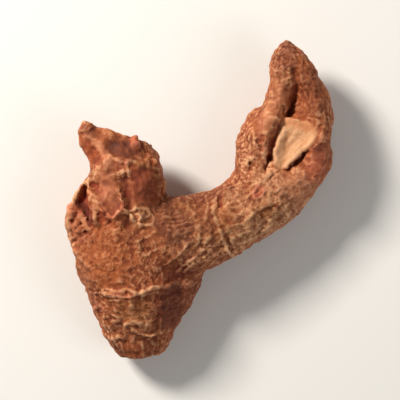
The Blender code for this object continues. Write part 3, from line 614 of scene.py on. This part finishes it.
class Limb:
    """A tapering branch: its centre line, half sizes, and the axes along, across and up at each point."""

    def __init__(self, stations):
        rows = spline(stations, LOFT_STEP)
        self.centre = rows[:, :3]
        self.half = np.maximum(rows[:, 3:5], 0.1)
        self.along = unit(np.gradient(self.centre, axis=0))
        self.across = unit(np.cross(self.along, (0, 0, 1)))
        self.up = np.cross(self.across, self.along)
        steps = np.linalg.norm(np.diff(self.centre, axis=0), axis=1)
        self.length = np.concatenate([[0], np.cumsum(steps)])

    def loft(self):
        """Points and faces of a closed tube along the limb."""
        turn = np.linspace(0, 2 * math.pi, LOFT_SIDES, endpoint=False)
        ring = np.stack([np.cos(turn), np.sin(turn)], axis=1)
        points = (
            self.centre[:, None]
            + self.across[:, None] * (self.half[:, None, :1] * ring[None, :, :1])
            + self.up[:, None] * (self.half[:, None, 1:] * ring[None, :, 1:])
        )
        last = (len(points) - 1) * LOFT_SIDES
        sides = [(j, (j + 1) % LOFT_SIDES) for j in range(LOFT_SIDES)]
        faces = [
            (start + j, start + j + LOFT_SIDES, start + k + LOFT_SIDES, start + k)
            for start in range(0, last, LOFT_SIDES)
            for j, k in sides
        ]
        faces.append(tuple(range(LOFT_SIDES)))
        faces.append(tuple(last + j for j in reversed(range(LOFT_SIDES))))
        return points.reshape(-1, 3), faces

    def place(self, points):
        """For each point: how far along the limb it lies, its direction round it, how many radii out."""
        near = np.argmin(np.sum(self.centre**2, axis=1) - 2 * points @ self.centre.T, axis=1)
        offset = points - self.centre[near]
        sides = np.stack([self.across[near], self.up[near]], axis=1)
        flat = np.einsum("nij,nj->ni", sides, offset) / self.half[near]
        reach = np.maximum(np.linalg.norm(flat, axis=1), 1e-6)
        along = self.length[near] + np.sum(offset * self.along[near], axis=1)
        return along, flat / reach[:, None], reach


def plate(corners, thickness):
    """Points and faces of a slab under a ring of corners given clockwise from above."""
    top = np.array(corners, float)
    count = len(top)
    faces = [tuple(reversed(range(count))), tuple(range(count, 2 * count))]
    faces += [(i, (i + 1) % count, (i + 1) % count + count, i + count) for i in range(count)]
    return np.vstack([top, top - (0, 0, thickness)]), faces


def ball(x, y, z, radius):
    """Points and faces of a small round knob, from pole to pole."""
    turns = np.linspace(0.15, 3.0, 7)
    stations = [(x, y - radius * math.cos(a), z, radius * math.sin(a), radius * math.sin(a)) for a in turns]
    return Limb(stations).loft()


def joined(shapes):
    """One mesh that holds all the shapes, each given as points and faces."""
    starts = np.cumsum([0, *(len(points) for points, _ in shapes)])
    faces = [tuple(i + start for i in face) for start, (_, part) in zip(starts, shapes) for face in part]
    mesh = bpy.data.meshes.new("rhizome_skin")
    mesh.from_pydata(np.vstack([points for points, _ in shapes]).tolist(), [], faces)
    return mesh


def placed(name, data):
    """A new object in the scene."""
    obj = bpy.data.objects.new(name, data)
    bpy.context.scene.collection.objects.link(obj)
    return obj


def modified(mesh, *modifiers):
    """The mesh after a list of modifiers, each given as its type and settings."""
    obj = placed("work", mesh)
    for kind, settings in modifiers:
        modifier = obj.modifiers.new(kind, kind)
        for name, value in settings.items():
            setattr(modifier, name, value)
    result = bpy.data.meshes.new_from_object(obj.evaluated_get(bpy.context.evaluated_depsgraph_get()))
    bpy.data.objects.remove(obj)
    return result


def fused(shapes, voxel, passes):
    """One smoothed skin round all the shapes."""
    return modified(
        joined(shapes),
        ("REMESH", {"mode": "VOXEL", "voxel_size": voxel}),
        ("SMOOTH", {"factor": 0.5, "iterations": passes}),
    )


def read(mesh):
    """The mesh's points and normals."""
    found = np.empty((2, len(mesh.vertices) * 3))
    mesh.vertices.foreach_get("co", found[0])
    mesh.vertices.foreach_get("normal", found[1])
    return found[0].reshape(-1, 3).copy(), found[1].reshape(-1, 3).copy()


def write(mesh, points):
    mesh.vertices.foreach_set("co", points.ravel())
    mesh.update()


def line_distance(points, line):
    """How far each point lies from a line of corners, seen from above."""
    best = np.full(len(points), np.inf)
    for start, end in itertools.pairwise(np.array(line, float)):
        run = end - start
        t = held((points[:, :2] - start) @ run / (run @ run))
        best = np.minimum(best, np.linalg.norm(points[:, :2] - start - t[:, None] * run, axis=1))
    return best


def folded(points, normals):
    """The points after the folds of the upper side: ridges grow outwards, furrows sink straight down."""
    above = held(normals[:, 2:] * UPPER_SIDE)
    move = np.zeros_like(points)
    for height, width, *line in FOLDS.values():
        shape = height * np.exp(-((line_distance(points, line) / width) ** 2))[:, None]
        move += above * shape * (normals if height > 0 else (0, 0, 1))
    return points + move


def torn(points, normals):
    """The points after the crown's far end is torn out into a ragged, fibrous hollow."""
    x, y, z = points.T
    middle_x, middle_z, half_width, half_height, depth = CROWN_END
    inside = 1 - ((x - middle_x) / half_width) ** 2 - ((z - middle_z) / half_height) ** 2
    facing = held(normals[:, 1] * 2) * held(inside * 2) * (y > CROWN_START)
    fibres = Noise(SEED + 3).at(points * FIBRE_SPACING)
    return points - np.outer(facing * (depth + FIBRE_REACH * fibres), (0, 1, 0))


def drift(points, noise, gap):
    """Three waves of a noise that differ from each other, for pushing points about."""
    return np.stack([noise.at(points / gap + shift) for shift in (0, 23.1, 47.7)], axis=1)


def ridges(noise, points):
    """Sharp-crested ridges from a noise: 1 on the crests, below 0 between them."""
    return 1 - CREST * np.abs(noise.at(points))


def scarred(points, normals, warp):
    """How far the scars of roots and buds push each point outwards: a rim, and a bowl with a stump in it."""
    push = np.zeros(len(points))
    for x, y, radius, rim, depth, side in SCARS.values():
        facing = held(normals[:, 2] * side * UPPER_SIDE)
        away = np.hypot(points[:, 0] - x, points[:, 1] - y) / radius + SCAR_WAVER * warp
        bowl = rim * np.exp(-(((away - 1) / SCAR_RIM) ** 2)) - depth * np.exp(-((away / SCAR_BOWL) ** 4))
        push += facing * (bowl + SCAR_STUMP * depth * np.exp(-((away / SCAR_RIM) ** 2)))
    return push


def ringed(limb, crossings, along, around, waves):
    """How far a limb's leaf scars push each point outwards: a broken ridge in a shallow waist."""
    push = np.zeros(len(along))
    for x, y, height, lean in crossings:
        spot = limb.length[np.argmin(np.hypot(limb.centre[:, 0] - x, limb.centre[:, 1] - y))]
        sway = waves.at(np.column_stack([around * RING_SWAYS, np.full(len(along), spot)]))
        gap = along - spot + RING_SWAY * sway + lean * around[:, 0]
        lumps = waves.at(np.column_stack([around * RING_LUMPS, np.full(len(along), spot + 7.3)]))
        broken = np.clip(0.85 + 0.5 * lumps, 0.4, 1.0)
        waist = WAIST_DEPTH * np.exp(-((gap / WAIST_WIDTH) ** 2))
        push += height * (broken * np.exp(-((gap / RING_WIDTH) ** 2)) - waist)
    return push


def relief(points, normals):
    """How far the skin's own relief pushes each point outwards, all but the creases."""
    swell, wrinkle, grain = Noise(SEED), Noise(SEED + 1), Noise(SEED + 2)
    warp = drift(points, swell, BEND[1])
    push = sum(height * swell.at(points / gap + 9 * i) for i, (height, gap) in enumerate(SWELLS)) - SHRINKAGE
    limbs = ((Limb(STEM), STEM_RINGS, STEM_WRINKLES), (Limb(ARM), ARM_RINGS, ARM_WRINKLES))
    places = [limb.place(points) for limb, _, _ in limbs]
    shares = np.exp(-LIMB_BORDER * np.stack([reach for _, _, reach in places]))
    shares /= shares.sum(axis=0)
    for share, (limb, crossings, heights), (along, around, _) in zip(shares, limbs, places):
        push += share * ringed(limb, crossings, along, around, swell) * (1 + FLANK_RINGS * flanks(normals))
        for height, (often, run) in zip(heights, (LENGTHWISE, CROSSWISE)):
            course = np.column_stack([around * often, along / run]) + BEND[0] * warp
            push += share * height * ridges(wrinkle, course)
    push += GRAIN[0] * ridges(grain, points / GRAIN[1] + BEND[0] * warp)
    return push + scarred(points, normals, grain.at(points / JITTER[1]))


def creased(points, normals, sway):
    """How far the creases push each point outwards: sharp-crested and broken, and only above."""
    above = held(normals[:, 2] * UPPER_SIDE)
    push = np.zeros(len(points))
    for height, width, *line in CREASES.values():
        near = line_distance(points + CREASE_SWAY * sway, line) / width
        push += height * np.exp(-(near**1.3))
    return above * push * np.clip(0.8 + 0.5 * sway[:, 2], 0.4, 1.0)


def flanks(normals):
    """A mask of the sides and the underside."""
    return held(0.7 - 1.4 * normals[:, 2])


def threads(points, rough, lobed):
    """The finest wrinkles, from 0 to 1: curly threads on top, and lines along the lobes and the flanks."""
    curl, fine = Noise(SEED + 4), Noise(SEED + 5)
    warp = drift(points, curl, CURL_WAVES)
    kept = np.clip(0.75 + 1.1 * curl.at(points / THINNING_WAVES + 5), 0.15, 1)
    wide, narrow = (
        held(1 - edge * np.abs(fine.at(points / gap + CURL_BEND * warp)))
        for gap, edge in zip(THREAD_GAPS, THREAD_EDGES)
    )
    curls = np.maximum(wide, NARROW_CURLS * narrow)
    stem, arm = (Limb(row).place(points) for row in (STEM, ARM))
    on_stem = stem[2] < arm[2]
    along = np.where(on_stem, stem[0], arm[0])
    around = np.where(on_stem[:, None], stem[1], arm[1])
    course = np.column_stack([around * LOBE_LINES, along / LINE_LENGTH]) + LINE_BEND * warp
    rows = held(1 - LINE_EDGE * np.abs(fine.at(course)))
    return rough * kept * (curls * (1 - lobed) + rows * lobed)


def patch(points, rows, waves):
    """A soft mask of ragged patches on the upper side."""
    found = np.zeros(len(points))
    for half_width, strength, *line in rows:
        away = line_distance(points, line) / half_width + PATCH_WAVER * waves
        found = np.maximum(found, strength * held(1.7 - 1.3 * away))
    return found


def on_flap(points):
    """A mask of the flap's top: inside its corners and no lower than its edge."""
    corners = np.array(FLAP)
    inside = np.full(len(points), np.inf)
    for start, end in zip(corners, np.roll(corners, -1, axis=0)):
        run = unit(end[:2] - start[:2])
        away = points[:, :2] - start[:2]
        inside = np.minimum(inside, away[:, 1] * -run[0] + away[:, 0] * run[1])
    lowest = corners[:, 2].min() - FLAP_REACH
    shown = held(0.6 + inside / FLAP_EDGE) * held((points[:, 2] - lowest) / FLAP_EDGE)
    return shown * held((FLAP_END - points[:, 0]) / FLAP_FADE)


def smoothed(values, edges, passes):
    """The values averaged over their neighbours again and again."""
    count = np.bincount(edges.ravel(), minlength=len(values))[:, None]
    for _ in range(passes):
        total = np.stack(
            [
                np.bincount(edges[:, 0], column[edges[:, 1]], len(values))
                + np.bincount(edges[:, 1], column[edges[:, 0]], len(values))
                for column in values.T
            ],
            axis=1,
        )
        values = 0.5 * values + 0.5 * total / count
    return values


def stand_out(mesh, passes):
    """How far each point stands out of the mean surface round it, in millimetres."""
    points, normals = read(mesh)
    edges = np.empty(len(mesh.edges) * 2, int)
    mesh.edges.foreach_get("vertices", edges)
    return np.sum((points - smoothed(points, edges.reshape(-1, 2), passes)) * normals, axis=1)


def keep(mesh, name, values):
    """Stores a number for each point on the mesh, for the material's nodes."""
    mesh.attributes.new(name, "FLOAT", "POINT").data.foreach_set("value", values.astype(np.float32))


def grown_body():
    """The limbs joined and folded, the crown's end torn, and the flap and knobs grown into them."""
    limbs = [Limb(row) for row in (STEM, ARM, SHOULDER, CROWN_RIM, CROWN_CORNER, TORN_STRIP, THIN_SKIN)]
    body = fused([limb.loft() for limb in limbs], ROUGH_VOXEL, ROUGH_PASSES)
    points, normals = read(body)
    points = torn(folded(points, normals), normals)
    faces = [tuple(polygon.vertices) for polygon in body.polygons]
    shapes = [(points, faces), plate(FLAP, FLAP_THICKNESS), *(ball(*knob) for knob in KNOBS)]
    return fused(shapes, FINE_VOXEL, FINE_PASSES)


def skin_masks(points, normals):
    """For each kind of patch and for the flap, how strongly each point belongs to it."""
    waves = Noise(SEED + 6).at(points / PATCH_WAVES)
    above = held(normals[:, 2] * 2 + 0.6)
    masks = {name: patch(points, rows, waves) * above for name, rows in PATCHES.items()}
    masks["inner"] = on_flap(points) * above
    return masks


def grained(mesh, thread, crease, rough, pitted):
    """The mesh's points after the finest relief, and the creases with their own grain."""
    points, normals = read(mesh)
    grains = Noise(SEED + 7)
    fine = grains.at(points / GRAIN_GAP)
    grain = GRAIN_HEIGHT * fine + LUMP_HEIGHT * grains.at(points / LUMP_GAP)
    pits = held(-0.1 - grains.at(points / PIT_GAP + 3.7))
    crease = crease * (1 + CREASE_GRAIN * fine)
    push = THREAD_HEIGHT * (thread - 0.3) + crease + rough * grain - PIT_DEPTH * pitted * pits
    return points + normals * push[:, None], crease


def rhizome_skin():
    """The fine mesh, in metres, with the masks that colour it."""
    mesh = grown_body()
    points, normals = read(mesh)
    masks = skin_masks(points, normals)
    flank = flanks(normals)
    rough = (1 - SMOOTH_CALM * np.maximum(masks["smooth"], masks["inner"])) * (1 - FLANK_CALM * flank)
    lobed = np.maximum(held((points[:, 0] - LOBE_START) / 2), flank)
    thread = threads(points, rough, lobed)
    sway = drift(points, Noise(SEED + 7), JITTER[1])
    crease = creased(points, normals, sway)
    points += JITTER[0] * sway * (1, 1, 0.5)
    points += normals * (relief(points, normals) * (1 - FLAP_CALM * masks["inner"]))[:, None]
    write(mesh, points)
    points, crease = grained(mesh, thread, crease, rough, masks.pop("pitted"))
    masks["thread"] = held(thread + 2 * crease)
    points[:, 2] = np.maximum(points[:, 2] - GROUND, 0)
    write(mesh, points)
    # The fine relief steers painted shade in the hollows and painted highlight on the ridges; the broad
    # relief steers painted shade in the deep hollows.
    masks["fine"] = stand_out(mesh, FINE_AROUND)
    masks["broad"] = stand_out(mesh, BROAD_AROUND)
    for name, values in masks.items():
        keep(mesh, name, values)
    points[:, 2] = np.where(points[:, 2] < FLAT_SPOTS, 0, points[:, 2])
    points[:, :2] -= (points[:, :2].min(axis=0) + points[:, :2].max(axis=0)) / 2
    write(mesh, points * MM)
    mesh.shade_smooth()
    return mesh


def linear(colour):
    """A colour out of 255 as the linear light that shaders take."""
    parts = [c / 255 for c in colour]
    return (*(c / 12.92 if c <= 0.04045 else ((c + 0.055) / 1.055) ** 2.4 for c in parts), 1)


class Nodes:
    """A new material, and short ways to build its nodes."""

    def __init__(self, name):
        self.material = bpy.data.materials.new(name)
        self.material.use_nodes = True
        self.tree = self.material.node_tree
        self.shader = self.tree.nodes["Principled BSDF"]

    def add(self, kind, inputs=(), **settings):
        node = self.tree.nodes.new(kind)
        for name, value in settings.items():
            setattr(node, name, value)
        self.feed(node, inputs)
        return node

    def feed(self, node, inputs):
        for name, value in dict(inputs).items():
            if isinstance(value, bpy.types.NodeSocket):
                self.tree.links.new(value, node.inputs[name])
            else:
                node.inputs[name].default_value = value

    def mask(self, name):
        return self.add("ShaderNodeAttribute", attribute_name=name).outputs["Fac"]

    def rescale(self, value, low, high):
        """The value with low and high moved to 0 and 1, held between them."""
        return self.add("ShaderNodeMapRange", {"Value": value, "From Min": low, "From Max": high}).outputs[0]

    def math(self, operation, a, b):
        return self.add("ShaderNodeMath", {0: a, 1: b}, operation=operation).outputs[0]

    def plus(self, a, b):
        return self.math("ADD", a, b)

    def minus(self, a, b):
        return self.math("SUBTRACT", a, b)

    def times(self, a, b):
        return self.math("MULTIPLY", a, b)

    def mix(self, share, a, b):
        """Colour a turned into colour b by a share from 0 to 1."""
        return self.add("ShaderNodeMix", {0: share, 6: a, 7: b}, data_type="RGBA").outputs[2]

    def noise(self, scale, detail=4.0, roughness=0.6):
        place = self.add("ShaderNodeTexCoord").outputs["Object"]
        inputs = {"Vector": place, "Scale": scale, "Detail": detail, "Roughness": roughness}
        return self.add("ShaderNodeTexNoise", inputs).outputs[0]

    def fibres(self, scale):
        """A noise drawn out along the flap."""
        place = self.add("ShaderNodeTexCoord").outputs["Object"]
        stretch = {"Vector": place, "Rotation": (0, 0, FLAP_COURSE), "Scale": (FIBRE_LENGTH, 1, 1)}
        course = self.add("ShaderNodeMapping", stretch, vector_type="TEXTURE").outputs[0]
        return self.add("ShaderNodeTexNoise", {"Vector": course, "Scale": scale, "Detail": 3.0}).outputs[0]

    def ramp(self, value, stops):
        """The value as a colour, between stops of a place from 0 to 1 and a colour out of 255."""
        node = self.add("ShaderNodeValToRGB", {"Fac": value})
        first, last = node.color_ramp.elements
        first.position, first.color = stops[0][0], linear(stops[0][1])
        last.position, last.color = stops[-1][0], linear(stops[-1][1])
        for position, colour in stops[1:-1]:
            node.color_ramp.elements.new(position).color = linear(colour)
        return node.outputs[0]


def skin_marks(nodes):
    """The skin's speckles, dust and fine veins, each from 0 to 1."""
    speckle = nodes.rescale(nodes.noise(SPECKLE_SCALE, 5.0), 0.32, 0.68)
    dust = nodes.rescale(nodes.noise(DUST_SCALE, 3.0), 0.3, 0.7)
    wave = nodes.minus(nodes.noise(VEIN_SCALE, 3.0, 0.5), 0.5)
    return speckle, dust, nodes.rescale(nodes.math("ABSOLUTE", wave, 0.0), 0.045, 0.0)


def skin_height(nodes, speckle, dust, vein, plain):
    """How pale each place is, from 0 in the hollows to 1 on the ridges, with the marks added; it steers
    painted shade in the hollows and painted highlight on the ridges.
    """
    marks = nodes.times(nodes.minus(speckle, 0.5), SPECKLE_SHARE)
    marks = nodes.plus(marks, nodes.times(nodes.minus(dust, 0.5), DUST_SHARE))
    marks = nodes.plus(marks, nodes.times(vein, VEIN_SHARE))
    height = nodes.rescale(nodes.mask("fine"), -0.15, 0.15)
    height = nodes.plus(height, nodes.times(nodes.mask("thread"), THREAD_SHARE))
    return nodes.plus(height, nodes.times(marks, plain))


def skin_colour(nodes, height):
    """The skin's colour by its height, tinted where the masks say."""
    raised = nodes.rescale(height, 0.25, 0.85)
    tints = {
        "ochre": linear(OCHRE),
        "red": linear(RED),
        "olive": linear(OLIVE),
        # The pale patches: partly paler skin, partly painted highlight.
        "pale": nodes.mix(raised, linear(PALE), linear(PALE_RIDGE)),
        "pink": linear(PINK),
    }
    hue = nodes.rescale(nodes.noise(HUE_SCALE, 3.0), 0.38, 0.62)
    # The ramp paints shade in the hollows and highlight on the ridges over the skin's own tones.
    colour = nodes.mix(nodes.times(hue, HUE_SHARE), nodes.ramp(height, SKIN_AND_SHADE_RAMP), linear(OCHRE))
    strength = nodes.rescale(height, -0.3, 1.1)
    for name, tint in tints.items():
        share = nodes.times(nodes.times(nodes.mask(name), strength), TINT_SHARE)
        colour = nodes.mix(share, colour, tint)
    cloud = nodes.rescale(nodes.noise(CLOUD_SCALE), 0.35, 0.65)
    colour = nodes.mix(nodes.times(cloud, CLOUD_SHARE), colour, linear(DARK_SKIN))
    # Painted shade on the dark patches, partly darker skin, still darker in hollows than on ridges.
    shaded = nodes.mix(raised, linear(SHADED), linear(SHADED_RIDGE))
    return nodes.mix(nodes.times(nodes.mask("dark"), DARK_SHADE_SHARE), colour, shaded)


def flap_colour(nodes, speckle):
    """The pale inner tissue: fibres along the flap, painted shade in its creases, and ochre stains."""
    fibres = nodes.rescale(nodes.fibres(FIBRE_SCALE), 0.3, 0.7)
    shade = nodes.plus(nodes.times(fibres, 0.55), nodes.times(speckle, 0.3))
    # Painted shade in the flap's creases.
    shade = nodes.plus(shade, nodes.rescale(nodes.mask("fine"), 0.04, -0.2))
    colour = nodes.mix(shade, linear(INNER), linear(INNER_SHADE))
    return nodes.mix(nodes.times(nodes.mask("ochre"), STAIN_SHARE), colour, linear(OCHRE))


def skin_normal(nodes, speckle, dust, vein, plain):
    """The surface's direction after the finest relief, with fewer veins on the flap."""
    relief = nodes.plus(nodes.times(vein, nodes.minus(0.8, nodes.mask("inner"))), speckle)
    relief = nodes.times(nodes.plus(relief, nodes.times(dust, 0.35)), plain)
    bump = {"Height": relief, "Strength": BUMP_STRENGTH, "Distance": BUMP_DEPTH}
    return nodes.add("ShaderNodeBump", bump).outputs[0]


def skin_material():
    """Dried skin: darker in its hollows and paler on its ridges, partly painted shade and highlight, with
    painted shade in deep hollows and the flap's inner tissue let in.
    """
    nodes = Nodes("dried_skin")
    marks = skin_marks(nodes)
    speckle = marks[0]
    plain = nodes.minus(1.0, nodes.times(nodes.mask("smooth"), SMOOTH_SHARE))
    colour = skin_colour(nodes, skin_height(nodes, *marks, plain))
    colour = nodes.mix(nodes.times(nodes.mask("inner"), INNER_SHARE), colour, flap_colour(nodes, speckle))
    # Painted shade in the broad hollows, in a deep red.
    deep_shade = nodes.rescale(nodes.mask("broad"), -0.35, -1.3)
    colour = nodes.mix(nodes.times(deep_shade, DEEP_SHARE), colour, linear(HOLLOW_SHADE))
    surface = {
        "Base Color": colour,
        "Roughness": nodes.rescale(speckle, -1.8, 1.5),
        "Normal": skin_normal(nodes, *marks, plain),
        "Specular IOR Level": 0.3,
    }
    nodes.feed(nodes.shader, surface)
    return nodes.material


def floor():
    """A plain pale surface that the piece lies on."""
    mesh = bpy.data.meshes.new("floor")
    corners = [(x * FLOOR_REACH, y * FLOOR_REACH, 0) for x, y in ((-1, -1), (1, -1), (1, 1), (-1, 1))]
    mesh.from_pydata(corners, [], [(0, 1, 2, 3)])
    nodes = Nodes("floor")
    nodes.feed(nodes.shader, {"Base Color": linear(FLOOR), "Roughness": 0.9})
    mesh.materials.append(nodes.material)
    return placed("floor", mesh)


def light(name, place, size, power, colour):
    """A soft square light that points at the piece."""
    data = bpy.data.lights.new(name, "AREA")
    data.size = size
    data.energy = power
    data.color = colour
    obj = placed(name, data)
    obj.location = place
    obj.rotation_euler = (-obj.location).to_track_quat("-Z", "Y").to_euler()


def camera():
    """A camera straight above, with the crown's end at the top of the frame."""
    data = bpy.data.cameras.new("camera")
    data.sensor_width = SENSOR
    data.lens = SENSOR * (CAMERA_HEIGHT - MIDDLE) / FRAME_WIDTH
    data.clip_start = 0.01
    obj = placed("camera", data)
    obj.location = (0, 0, CAMERA_HEIGHT)
    bpy.context.scene.camera = obj


def surroundings():
    """The soft light that comes from all sides."""
    world = bpy.data.worlds.new("surroundings")
    world.use_nodes = True
    inputs = world.node_tree.nodes["Background"].inputs
    inputs["Color"].default_value = SURROUNDINGS
    inputs["Strength"].default_value = SURROUNDINGS_STRENGTH
    bpy.context.scene.world = world


def main():
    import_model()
    mesh = rhizome_skin()
    mesh.materials.append(skin_material())
    skin = placed("rhizome_skin", mesh)
    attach(skin, "root")
    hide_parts("rhizome")
    floor()
    for name, settings in LIGHTS.items():
        light(name, *settings)
    surroundings()
    camera()
    bpy.context.scene.view_settings.view_transform = "Standard"


main()
